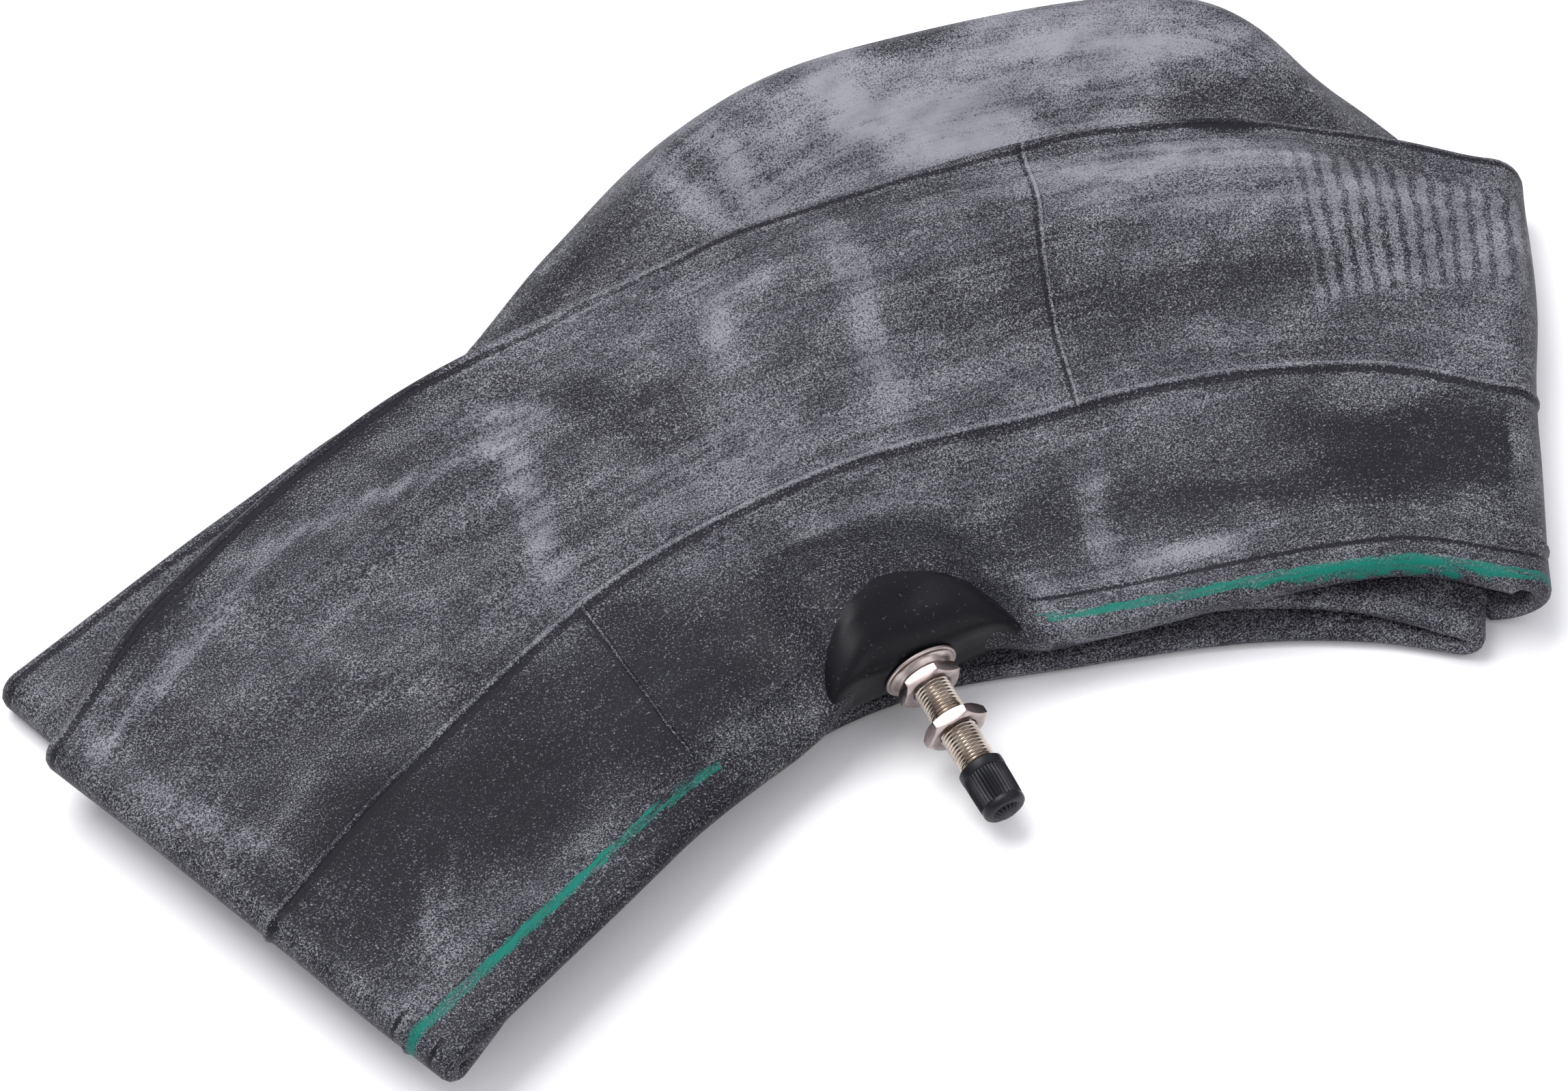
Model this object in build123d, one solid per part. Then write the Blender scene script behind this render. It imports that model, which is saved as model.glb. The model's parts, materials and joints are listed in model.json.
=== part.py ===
from build123d import *
import math
import os

# A deflated bicycle inner tube, folded in half twice into a four-layer pack,
# with its threaded valve pointing out of the inside of the curve.
# All sizes are in millimetres. Plan points are measured from the valve's axis,
# and PACK_CENTRE then puts the origin under the middle of the pack, on the table.

# ---- the rubber tube ----
TUBE_THICKNESS = 4.2
LAYER_PITCH = 4.8
BOTTOM_LEVEL = TUBE_THICKNESS / 2
LAYER_LEVEL = [BOTTOM_LEVEL + layer * LAYER_PITCH for layer in range(4)]
PACK_CENTRE = (11.85, 7.75)

# ---- the valve ----
VALVE_SEAT = (0, -52, 14)
VALVE_DROOP = 11
THREAD_RADIUS = 3.85
NUT_BORE_RADIUS = 3.90
STEM_LENGTH = 33.9
FOOT_RADIUS = 6.0
FOOT_TOP = -1.6
FOOT_THICKNESS = 1.4
NIPPLE_RADIUS = 2.5
NIPPLE_END = -6.0
CORE_THREAD_RADIUS = 2.6
CORE_CHAMBER_RADIUS = 2.1
STEM_BORE_RADIUS = 1.7
AIR_POCKET_RADIUS = 5.5
AIR_POCKET_END = -18.0

WASHER_RADIUS = 7.9
WASHER_HEIGHT = 2.4
NUT_ACROSS_FLATS = 12.0
BASE_NUT_START = 2.45
BASE_NUT_THICKNESS = 2.75
BASE_NUT_TURN = 26
RIM_NUT_START = 13.1
RIM_NUT_THICKNESS = 2.9
RIM_NUT_TURN = 19.5

CAP_START = 24.5
CAP_RADIUS = 4.75
CAP_BORE_RADIUS = 3.95
CAP_LENGTH = 11.9
CAP_END_WALL = 1.45
SEAL_THICKNESS = 0.9

valve_plane = Plane(
    origin=VALVE_SEAT,
    x_dir=(1, 0, 0),
    z_dir=(0, -math.cos(math.radians(VALVE_DROOP)), -math.sin(math.radians(VALVE_DROOP))),
)

# Plan points of each layer's inner and outer edge, from the left fold to the right one.
TOP_INNER = [
    (-121, -95), (-87, -77), (-35, -58), (0, -48),
    (30, -57), (69, -66), (98, -76.5), (114, -89.5),
]
TOP_OUTER = [
    (-154, 17), (-126, 36), (-62, 61), (4, 65),
    (46, 62), (100, 54), (145, 34), (174, 9.5),
]
SECOND_INNER = [
    (-121, -95), (-84, -71), (-38, -54), (-26, -36),
    (26, -36), (40, -57), (88, -80), (103, -92.5),
]
SECOND_OUTER = [
    (-154, 17), (-118, 38), (-55, 58), (8, 56),
    (48, 50), (94, 41), (135, 22), (166, 4),
]
THIRD_INNER = [
    (-118, -75), (-80, -60), (-38, -50), (-26, -36),
    (26, -36), (40, -58), (88, -81), (103, -92.5),
]
THIRD_OUTER = [
    (-151.5, 37), (-100, 58.5), (-53, 69), (-12, 62),
    (48, 50), (94, 42), (135, 22), (166, 4),
]
BOTTOM_INNER = [
    (-118, -75), (-80, -60), (-33, -50), (0, -49),
    (34, -58), (66, -69), (93, -80), (114, -89.5),
]
BOTTOM_OUTER = [
    (-151.5, 37), (-100, 57), (-50, 71), (-6, 91), (38, 109),
    (80, 111), (147, 88), (171, 60), (174, 9.5),
]

# The bottom layer's outer part rises in a rounded hump behind the pack. A station is the hump's
# foot beside the top layer, its foot at the back, and the height of its crest.
HUMP_STATIONS = [
    ((-12, 68), (-8, 88), 5.5),
    ((30, 66), (36, 107), 15),
    ((72, 61), (82, 109), 21),
    ((122, 49), (142, 88), 19),
    ((150, 34), (168, 60), 10),
    ((158, 28), (171, 44), 5.5),
]

# The bulge that the valve's foot props open in the top layer, and the moulded pad around it:
# distance in front of the origin line, height of the middle, half width and half height.
NOSE_SECTIONS = [
    (-48.5, 14.6, 14, 6.0),
    (-46, 14.9, 18.5, 8.0),
    (-39, 15.5, 22, 8.8),
    (-27, 15.9, 20, 7.4),
    (-14, 16.2, 12, 2.6),
]
PAD_SECTIONS = [
    (-54, 13.6, 14.5, 6.8),
    (-50.5, 14.3, 19.5, 9.2),
    (-44, 15.2, 23, 10.4),
    (-33, 15.9, 23, 10.0),
]


def layer(inner_edge, outer_edge, level):
    """One flattened layer of the tube, between its inner and outer edges in plan."""
    outline = [
        Spline(*inner_edge),
        Line(inner_edge[-1], outer_edge[-1]),
        Spline(*reversed(outer_edge)),
        Line(outer_edge[0], inner_edge[0]),
    ]
    return Pos(0, 0, level - TUBE_THICKNESS / 2) * extrude(make_face(outline), TUBE_THICKNESS)


def fold(inner_corner, outer_corner, lower_level, upper_level, turn):
    """The half round that joins two layers along the line between two corners."""
    middle = (lower_level + upper_level) / 2
    start = Vector(*inner_corner, middle)
    end = Vector(*outer_corner, middle)
    near = upper_level - TUBE_THICKNESS / 2 - middle
    far = upper_level + TUBE_THICKNESS / 2 - middle
    up = Vector(0, 0, 1)
    outline = Polyline(start + up * near, end + up * near, end + up * far, start + up * far, close=True)
    return revolve(make_face(outline), Axis(start, end - start), turn)


def hump():
    """The rounded hump of the bottom layer, behind the pack."""
    foot_level = BOTTOM_LEVEL
    sections = []
    for front_foot, back_foot, crest in HUMP_STATIONS:
        front = Vector(*front_foot, foot_level)
        run = Vector(*back_foot, foot_level) - front
        rise = Vector(0, 0, crest - foot_level)
        curve = Spline(front, front + run * 0.15 + rise * 0.85, front + run * 0.6 + rise, front + run)
        sections.append(make_face([curve, Line(front + run, front)]))
    return loft(sections)


def upright_ellipse(distance, height, half_width, half_height):
    """An ellipse on the upright plane at a distance in front of the origin line."""
    return Plane((0, distance, height), x_dir=(1, 0, 0), z_dir=(0, -1, 0)) * Ellipse(
        half_width, half_height
    )


def turned(*outline):
    """A turned part: an outline of (radius, height) points spun about the valve's axis."""
    points = [(radius, 0, height) for radius, height in outline]
    return revolve(make_face(Polyline(*points, close=True)), Axis.Z)


def rod(radius, start, end):
    """A plain cylinder about the valve's axis."""
    return turned((0, start), (radius, start), (radius, end), (0, end))


def make_tube_casing():
    """The rubber tube: four flat layers, four folds, the hump, and the bulge behind the valve."""
    bottom, third, second, top = LAYER_LEVEL
    pieces = [
        layer(TOP_INNER, TOP_OUTER, top),
        fold(TOP_INNER[0], TOP_OUTER[0], second, top, -180),
        layer(SECOND_INNER, SECOND_OUTER, second),
        fold(SECOND_INNER[-1], SECOND_OUTER[-1], third, second, 180),
        layer(THIRD_INNER, THIRD_OUTER, third),
        fold(THIRD_INNER[0], THIRD_OUTER[0], bottom, third, -180),
        layer(BOTTOM_INNER, BOTTOM_OUTER, bottom),
        fold(TOP_INNER[-1], TOP_OUTER[-1], bottom, top, 180),
        hump(),
        nose(),
    ]
    casing = pieces[0].fuse(*pieces[1:])
    pocket = rod(AIR_POCKET_RADIUS, AIR_POCKET_END, NIPPLE_END + 1)
    casing = casing - valve_plane * pocket
    for space in stem_spaces():
        casing = casing - valve_plane * space
    return casing


def nose():
    """The bulge that the valve's foot props open at the inner edge of the top layer."""
    return loft([upright_ellipse(*section) for section in NOSE_SECTIONS])


def stem_spaces():
    """The room that the stem's foot, threaded body and nipple take in the rubber."""
    return [
        rod(FOOT_RADIUS, FOOT_TOP - FOOT_THICKNESS, FOOT_TOP),
        rod(THREAD_RADIUS, FOOT_TOP, 1),
        rod(NIPPLE_RADIUS, NIPPLE_END, FOOT_TOP),
    ]


def make_valve_base_pad(casing):
    """The smooth rubber pad moulded over the inner edge, with the stem's foot inside it."""
    pad = loft([upright_ellipse(*section) for section in PAD_SECTIONS])
    in_front = valve_plane * Pos(0, 0, 10) * Box(80, 80, 20)
    pad = pad - in_front - casing
    for space in stem_spaces():
        pad = pad - valve_plane * space
    return max(pad.solids(), key=lambda solid: solid.volume)


def make_valve_stem():
    """The plated brass stem: foot, threaded body, and a stepped bore for the core."""
    mouth_chamfer = 0.4
    plug_thread_end = 26.5
    seal_seat_end = 24.5
    chamber_end = 9.0
    chamber_cone = 1.0
    return turned(
        (STEM_BORE_RADIUS, NIPPLE_END),
        (NIPPLE_RADIUS, NIPPLE_END),
        (NIPPLE_RADIUS, FOOT_TOP - FOOT_THICKNESS),
        (FOOT_RADIUS, FOOT_TOP - FOOT_THICKNESS),
        (FOOT_RADIUS, FOOT_TOP),
        (THREAD_RADIUS, FOOT_TOP),
        (THREAD_RADIUS, STEM_LENGTH - mouth_chamfer),
        (THREAD_RADIUS - mouth_chamfer, STEM_LENGTH),
        (CORE_THREAD_RADIUS + mouth_chamfer / 2, STEM_LENGTH),
        (CORE_THREAD_RADIUS, STEM_LENGTH - mouth_chamfer),
        (CORE_THREAD_RADIUS, plug_thread_end),
        (CORE_CHAMBER_RADIUS, seal_seat_end),
        (CORE_CHAMBER_RADIUS, chamber_end),
        (STEM_BORE_RADIUS, chamber_end - chamber_cone),
    )


def make_rim_washer():
    """The domed washer that spreads the nut's load over the pad."""
    hole = NUT_BORE_RADIUS + 0.2
    return turned(
        (WASHER_RADIUS - 0.25, 0.05),
        (WASHER_RADIUS, 0.3),
        (WASHER_RADIUS, 0.75),
        (WASHER_RADIUS - 0.3, 1.0),
        (6.7, 1.15),
        (5.9, 1.75),
        (5.3, WASHER_HEIGHT),
        (hole, WASHER_HEIGHT),
        (hole, WASHER_HEIGHT - 0.9),
        (5.0, WASHER_HEIGHT - 0.9),
        (5.6, 0.9),
        (6.4, 0.3),
        (7.1, 0.05),
    )


def make_nut(start, thickness, turn):
    """A plain hexagon nut with both faces chamfered."""
    blank = extrude(RegularPolygon(NUT_ACROSS_FLATS / 2, 6, major_radius=False), thickness)
    corner = NUT_ACROSS_FLATS / 2 / math.cos(math.radians(30))
    face = NUT_ACROSS_FLATS / 2 - 0.2
    chamfer_height = (corner - face) * math.tan(math.radians(30))
    envelope = turned(
        (0, 0),
        (face, 0),
        (corner, chamfer_height),
        (corner, thickness - chamfer_height),
        (face, thickness),
        (0, thickness),
    )
    nut = (blank & envelope) - rod(NUT_BORE_RADIUS, -1, thickness + 1)
    return Pos(0, 0, start) * Rot(0, 0, turn) * nut


def make_dust_cap():
    """The ribbed plastic cap, with a collar at its mouth and a small domed end."""
    end = CAP_START + CAP_LENGTH
    body = turned(
        (CAP_BORE_RADIUS, CAP_START),
        (CAP_RADIUS - 0.1, CAP_START),
        (CAP_RADIUS, CAP_START + 0.4),
        (CAP_RADIUS, end - 2.0),
        (CAP_RADIUS - 0.5, end - 0.9),
        (CAP_RADIUS - 1.5, end - 0.35),
        (CAP_RADIUS - 2.4, end),
        (0, end),
        (0, end - CAP_END_WALL),
        (CAP_BORE_RADIUS, end - CAP_END_WALL),
    )
    rib_count = 24
    groove = Box(0.4, 0.55, 7.0)
    grooves = [
        Rot(0, 0, index * 360 / rib_count) * Pos(CAP_RADIUS, 0, CAP_START + 6.2) * groove
        for index in range(rib_count)
    ]
    return body.cut(*grooves)


def make_cap_seal():
    """The rubber disc inside the cap, which closes on the stem's mouth."""
    inside_end = CAP_START + CAP_LENGTH - CAP_END_WALL
    return rod(CAP_BORE_RADIUS - 0.25, inside_end - 0.05 - SEAL_THICKNESS, inside_end - 0.05)


def make_core_plug():
    """The threaded plug that holds the core in the stem, with two flats for the cap's key."""
    plug = turned(
        (0.85, 27.4),
        (2.1, 27.4),
        (CORE_THREAD_RADIUS, 28.2),
        (CORE_THREAD_RADIUS, 31.6),
        (1.9, 31.9),
        (1.9, 33.3),
        (0.85, 33.3),
    )
    flats = [Pos(0, side * 2.3, 32.7) * Box(6, 2.2, 1.6) for side in (-1, 1)]
    return plug.cut(*flats)


def make_core_seal_ring():
    """The tapered ring that seals the core against the stem's seat."""
    return turned((1.55, 24.9), (2.15, 24.9), (2.45, 26.3), (2.45, 27.3), (1.55, 27.3))


def make_core_barrel():
    """The core's brass barrel: open at the top, with a small hole for the pin below."""
    return turned(
        (0.75, 13.0),
        (1.75, 13.0),
        (1.75, 24.9),
        (1.5, 24.9),
        (1.5, 27.35),
        (1.25, 27.35),
        (1.25, 14.2),
        (0.75, 14.2),
    )


def make_core_pin():
    """The pin that is pressed to let air through, with a collar that the spring pushes on."""
    return turned(
        (0, 9.3),
        (0.55, 9.3),
        (0.55, 23.6),
        (1.05, 23.6),
        (1.05, 24.4),
        (0.55, 24.4),
        (0.55, 32.9),
        (0.75, 33.1),
        (0.75, 33.6),
        (0, 33.6),
    )


def make_core_spring():
    """The coil spring between the barrel's floor and the pin's collar."""
    turns = 9
    start = 14.4
    end = 23.4
    path = Pos(0, 0, start) * Helix(pitch=(end - start) / turns, height=end - start, radius=0.88)
    wire = Plane(origin=path @ 0, z_dir=path % 0) * Circle(0.14)
    return sweep(wire, path)


def make_core_cup():
    """The small cup fixed on the pin's inner end."""
    return turned((0.55, 9.6), (1.5, 9.6), (1.5, 12.2), (1.2, 12.2), (1.2, 10.2), (0.55, 10.2))


def make_core_cup_seal():
    """The rubber ring in the cup, which closes the barrel's lower end."""
    return turned((0.6, 10.3), (1.15, 10.3), (1.15, 12.95), (0.6, 12.95))


os.makedirs("parts", exist_ok=True)
to_origin = Pos(-PACK_CENTRE[0], -PACK_CENTRE[1], 0)
tube_casing = make_tube_casing()
nodes = {
    "tube_casing": tube_casing,
    "valve_base_pad": make_valve_base_pad(tube_casing),
    "valve_stem": valve_plane * make_valve_stem(),
    "rim_washer": valve_plane * make_rim_washer(),
    "base_nut": valve_plane * make_nut(BASE_NUT_START, BASE_NUT_THICKNESS, BASE_NUT_TURN),
    "rim_nut": valve_plane * make_nut(RIM_NUT_START, RIM_NUT_THICKNESS, RIM_NUT_TURN),
    "dust_cap": valve_plane * make_dust_cap(),
    "cap_seal": valve_plane * make_cap_seal(),
    "core_plug": valve_plane * make_core_plug(),
    "core_seal_ring": valve_plane * make_core_seal_ring(),
    "core_barrel": valve_plane * make_core_barrel(),
    "core_pin": valve_plane * make_core_pin(),
    "core_spring": valve_plane * make_core_spring(),
    "core_cup": valve_plane * make_core_cup(),
    "core_cup_seal": valve_plane * make_core_cup_seal(),
}
for name, shape in nodes.items():
    export_step(to_origin * shape, f"parts/{name}.step")
    box = (to_origin * shape).bounding_box()
    print(name, [round(v, 2) for v in (*box.min, *box.max)], round(shape.volume, 1))
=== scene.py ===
import bpy
import json
import math
import numpy as np
from mathutils import Matrix, Vector


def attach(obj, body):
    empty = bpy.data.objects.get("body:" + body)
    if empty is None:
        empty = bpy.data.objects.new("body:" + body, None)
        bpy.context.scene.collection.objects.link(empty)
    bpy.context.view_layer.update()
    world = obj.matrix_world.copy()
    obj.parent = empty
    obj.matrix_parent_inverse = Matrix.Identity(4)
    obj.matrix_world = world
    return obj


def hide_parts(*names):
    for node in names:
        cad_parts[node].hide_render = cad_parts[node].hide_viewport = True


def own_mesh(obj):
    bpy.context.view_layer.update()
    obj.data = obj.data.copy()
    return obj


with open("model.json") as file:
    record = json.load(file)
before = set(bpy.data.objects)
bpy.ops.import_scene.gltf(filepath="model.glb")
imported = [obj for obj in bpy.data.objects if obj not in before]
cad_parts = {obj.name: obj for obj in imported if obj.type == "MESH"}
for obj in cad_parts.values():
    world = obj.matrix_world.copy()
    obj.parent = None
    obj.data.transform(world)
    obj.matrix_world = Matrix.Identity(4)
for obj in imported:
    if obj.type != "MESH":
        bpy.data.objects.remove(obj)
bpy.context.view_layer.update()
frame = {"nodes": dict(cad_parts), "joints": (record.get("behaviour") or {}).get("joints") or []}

# ---------------------------------------------------------------- camera, table and light
# The pack lies on a pale table, seen from above and from the left of its valve, under soft
# light from overhead with a gentler fill at the front. Colours are shown plainly, so that the
# table stays white and the rubber black.
MM = 0.001
aim = Vector((-14.15, -7.75, 0)) * MM
azimuth = math.radians(-28.6)
elevation = math.radians(49.0)
camera_distance = 1.2
sight = Vector((
    -math.sin(azimuth) * math.cos(elevation),
    math.cos(azimuth) * math.cos(elevation),
    -math.sin(elevation),
))
camera_data = bpy.data.cameras.new("camera")
camera_data.lens = 134.5
camera_data.sensor_width = 36
camera_data.clip_start = 0.05
camera = bpy.data.objects.new("camera", camera_data)
camera.location = aim - sight * camera_distance
camera.rotation_euler = sight.to_track_quat("-Z", "Y").to_euler()
bpy.context.scene.collection.objects.link(camera)
bpy.context.scene.camera = camera
bpy.context.scene.view_settings.view_transform = "Standard"


def linear(hex_colour):
    """An sRGB hex colour as the linear values that a shader takes."""
    channels = [int(hex_colour[i:i + 2], 16) / 255 for i in (1, 3, 5)]
    return [c / 12.92 if c <= 0.04045 else ((c + 0.055) / 1.055) ** 2.4 for c in channels] + [1.0]


def add_node(tree, kind, *values, output=0, **settings):
    """Adds a node to a material: values go to its inputs in order, or by name from a dict."""
    node = tree.nodes.new("ShaderNode" + kind)
    for name, setting in settings.items():
        setattr(node, name, setting)
    named = values[0] if values and isinstance(values[0], dict) else dict(enumerate(values))
    for key, value in named.items():
        if isinstance(value, bpy.types.NodeSocket):
            tree.links.new(value, node.inputs[key])
        else:
            node.inputs[key].default_value = value
    return node.outputs[output]


def new_material(name):
    """A material with only its surface shader, which the caller builds up."""
    material = bpy.data.materials.new(name)
    material.use_nodes = True
    tree = material.node_tree
    shader = next(n for n in tree.nodes if n.type == "BSDF_PRINCIPLED")
    return material, tree, shader


def add_lamp(name, place, size, power):
    """A rectangular soft lamp that faces the middle of the table."""
    lamp_data = bpy.data.lights.new(name, "AREA")
    lamp_data.shape = "RECTANGLE"
    lamp_data.size, lamp_data.size_y = size
    lamp_data.energy = power
    lamp = bpy.data.objects.new(name, lamp_data)
    lamp.location = place
    lamp.rotation_euler = (-Vector(place)).to_track_quat("-Z", "Y").to_euler()
    bpy.context.scene.collection.objects.link(lamp)


bpy.ops.object.select_all(action="DESELECT")
bpy.ops.mesh.primitive_plane_add(size=12, location=(0, 0, -0.4 * MM))
table = bpy.context.object
table.name = "table_top"
table_paint, tree, shader = new_material("white_laminate_table")
shader.inputs["Base Color"].default_value = linear("#fbfbfb")
shader.inputs["Roughness"].default_value = 0.7
table.data.materials.append(table_paint)
add_lamp("overhead_softbox", (-0.35, 0.55, 1.5), (1.3, 1.0), 22)
add_lamp("front_fill", (0.5, -1.5, 0.9), (1.4, 1.0), 4.5)
world = bpy.data.worlds.new("studio")
bpy.context.scene.world = world
world.use_nodes = True
sky = world.node_tree
# The sky is dim at the horizon and bright overhead.
direction = add_node(sky, "TexCoord", output="Generated")
height = add_node(sky, "SeparateXYZ", direction, output="Z")
strength = add_node(sky, "MapRange", height, 0.0, 0.55, 0.1, 0.95, interpolation_type="SMOOTHSTEP")
backdrop = sky.nodes["Background"]
backdrop.inputs["Color"].default_value = linear("#f8f8ff")
sky.links.new(strength, backdrop.inputs["Strength"])

# ---------------------------------------------------------------- tube casing
# One moulded ring of butyl rubber, flat and folded in half twice, so four layers lie on each
# other. Thin mould ridges run along its sides and across them, a green stripe is painted near
# the inner edge, and talc from the factory clings to all of it except round the valve.
valve_joint = next(j for j in frame["joints"] if j["name"] == "base_nut_turn")
valve_seat = Vector(valve_joint["pos_m"])
valve_axis = Vector(valve_joint["axis"]).normalized()
axis = np.array(valve_axis)
seat_mm = np.array(valve_seat) / MM
plan_shift = np.array([seat_mm[0], seat_mm[1] + 52.0])
HALF = 2.1
PITCH = 4.7
WIDTH = 117.0
COLUMN_STEP = 2.1
HUMP_RISE = 11
BAND_CENTRE = (2.5, -248.7)
BAND_RADIUS = 249.7

# The inner and outer edge of each layer in plan, from the left fold to the right fold,
# in millimetres from the line of the valve.
top_edges = [
    ((-122.5, -95.5), (-157.5, 12)), ((-86, -80.5), (-125, 35.8)), ((-35, -60), (-61.5, 61.5)),
    ((0, -53), (4, 67)), ((30, -58), (46, 64)), ((69, -67.5), (100, 56)), ((98, -78), (145, 36)),
    ((114, -92), (174, 12)),
]
second_edges = [
    ((-122.5, -95.5), (-157.5, 12)), ((-84, -73), (-118, 39)), ((-36, -53), (-55, 60)), ((0, -30), (8, 58)),
    ((34, -52), (48, 50)), ((66, -63), (94, 42)), ((88, -76), (135, 23)), ((103, -92), (166, 5)),
]
third_edges = [
    ((-121, -77), (-156.5, 38)), ((-80, -62), (-99.5, 57)), ((-33, -52), (-53, 68)), ((0, -49), (8, 60)),
    ((34, -58), (48, 52)), ((66, -68.5), (94, 45)), ((88, -80), (135, 25)), ((103, -92), (166, 5)),
]
# The bottom layer also has the heights of its hump, at four places across its outer part.
bottom_edges = [
    ((-121, -77), (-156.5, 38), (2.1, 2.1, 2.1, 2.1)),
    ((-78, -56), (-99.5, 56.5), (2.1, 2.1, 2.1, 2.1)),
    ((-42, -42), (-50, 70), (2.3, 2.6, 2.8, 2.1)),
    ((-6, -26), (-7, 94), (3.6, 5.6, 6.4, 2.3)),
    ((22, -6), (36, 112), (8.6, 13.2, 14.2, 3)),
    ((50, 0), (80, 111.5), (12.4, 16.8, 16.4, 3)),
    ((92, -10), (147, 91), (11.8, 16.4, 16.0, 3)),
    ((112, -42), (164, 53), (7.0, 8.2, 6.8, 2.4)),
    ((113, -87), (174, 12), (2.1, 2.1, 2.1, 2.1)),
]
hump_places = np.array([0.65, 0.8, 0.92, 1.0])


def smooth(value):
    """Eases from 0 to 1."""
    value = np.clip(value, 0, 1)
    return value * value * (3 - 2 * value)


def smooth_row(points, count):
    """A smooth row through the points, with its places evenly spaced."""
    points = np.array(points, float)
    padded = np.vstack([2 * points[0] - points[1], points, 2 * points[-1] - points[-2]])
    rows = []
    for k in range(len(points) - 1):
        a, b, c, d = padded[k:k + 4]
        for t in np.linspace(0, 1, 24, endpoint=False):
            rows.append(0.5 * (2 * b + (c - a) * t + (2 * a - 5 * b + 4 * c - d) * t ** 2
                               + (3 * b - a - 3 * c + d) * t ** 3))
    rows.append(points[-1])
    rows = np.array(rows)
    run = np.concatenate([[0], np.cumsum(np.linalg.norm(np.diff(rows[:, :4], axis=0), axis=1))])
    places = np.linspace(0, run[-1], count)
    return np.stack([np.interp(places, run, rows[:, k]) for k in range(rows.shape[1])], 1)


def band_offset(x, y):
    """How far a plan point lies outside the middle line of the band."""
    return np.hypot(x - BAND_CENTRE[0], y - BAND_CENTRE[1]) - BAND_RADIUS


def on_bottom(layer, x, y):
    """1 where a layer rests on the bottom one, and 0 where it sags to the table beside it."""
    inner_x = [-118, -78, -42, -6, 22, 50, 92, 112]
    inner_y = [-77, -56, -42, -26, -6, 0, -10, -42]
    inside = smooth((y - np.interp(x, inner_x, inner_y) + 24) / 24)
    held = smooth((-30 - x) / 35)
    if layer == 3:
        held = np.maximum(held, smooth((x - 35) / 70))
    return 1 - (1 - inside) * (1 - held)


def lift(x, y):
    """How far the hump pushes up what lies on it."""
    along = smooth((x + 25) / 70) * smooth((172 - x) / 45)
    return HUMP_RISE * along * smooth((band_offset(x, y) + 15) / 78)


def layer_heights(layer, x, y):
    """The heights of the middle of a layer, counted from the bottom one."""
    height = HALF + lift(x, y)
    if layer >= 1:
        height = height + PITCH * on_bottom(layer, x, y)
    if layer >= 2:
        height = height + PITCH
    if layer == 3:
        drape = smooth((band_offset(x, y) - 42) / 24) * smooth((x + 20) / 60) * smooth((168 - x) / 30)
        propped = 3.7 * smooth((34 - abs(x)) / 26) * smooth((-y - 8) / 28)
        height = height + PITCH - 6.0 * drape + propped
    return height


def hump_heights(known, places, fractions):
    """A smooth curve through a row of heights."""
    slopes = np.gradient(known, places)
    result = np.zeros_like(fractions)
    for k in range(len(places) - 1):
        inside = (fractions >= places[k]) & (fractions <= places[k + 1])
        gap = places[k + 1] - places[k]
        t = (fractions[inside] - places[k]) / gap
        eased = 3 * t ** 2 - 2 * t ** 3
        bend_start = (t ** 3 - 2 * t ** 2 + t) * gap * slopes[k]
        bend_end = (t ** 3 - t ** 2) * gap * slopes[k + 1]
        result[inside] = (1 - eased) * known[k] + eased * known[k + 1] + bend_start + bend_end
    return result


def layer_sheet(layer, edges, fractions):
    """The middle sheet of one layer, as a grid of points along and across the band."""
    rows = [(*e[0], *e[1], *(e[2] if len(e) > 2 else ())) for e in edges]
    middle = np.array([np.add(e[0], e[1]) / 2 for e in edges])
    length = np.linalg.norm(np.diff(middle, axis=0), axis=1).sum()
    row = smooth_row(rows, int(length / COLUMN_STEP) + 1)
    across = fractions[None, :, None]
    plan = row[:, None, 0:2] * (1 - across) + row[:, None, 2:4] * across
    height = layer_heights(layer, plan[..., 0], plan[..., 1])
    if layer == 0:
        flat_places = np.array([0.0, 0.3, 0.5])
        for i in range(len(row)):
            flat = np.interp(flat_places, fractions, height[i])
            known = np.concatenate([flat, row[i, 4:8]])
            height[i] = hump_heights(known, np.concatenate([flat_places, hump_places]), fractions)
    return np.concatenate([plan, height[..., None]], 2)


def fold_sheet(start, end, side, steps):
    """The half round from the last row of one layer to the first row of the next."""
    line = start[-1] - start[0]
    outward = np.array([line[1], -line[0], 0]) / np.hypot(line[0], line[1]) * side
    centre = (start + end) / 2
    radius = (start - end) / 2
    reach = np.linalg.norm(radius, axis=1)[:, None]
    angles = np.linspace(0, math.pi, steps + 2)[1:-1]
    return np.array([centre + radius * math.cos(a) + outward * reach * math.sin(a) for a in angles])


# Rows across the band lie close together on the rounded edges and on the mould ridges.
mid_ridge = 0.44 * WIDTH
inner_ridge = 12.0
OUTER_FOLD_STEPS = 14
INNER_FOLD_STEPS = 7
ridge_rows = np.array([-1.1, -0.5, 0, 0.5, 1.1])
edge_rows = np.array([0, 0.3, 1.0, 2.0, 3.4, 5.2, 7.2])
side_rows = np.concatenate([
    edge_rows, [9.4], inner_ridge + ridge_rows,
    np.linspace(inner_ridge + 3, mid_ridge - 3, 15), mid_ridge + ridge_rows,
    np.linspace(mid_ridge + 3, WIDTH - 7.4, 24), WIDTH - edge_rows[:-1][::-1],
])
fractions = side_rows / WIDTH
top_sheet = layer_sheet(3, top_edges, fractions)
second_sheet = layer_sheet(2, second_edges, fractions)[::-1]
third_sheet = layer_sheet(1, third_edges, fractions)
bottom_sheet = layer_sheet(0, bottom_edges, fractions)[::-1]
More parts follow.
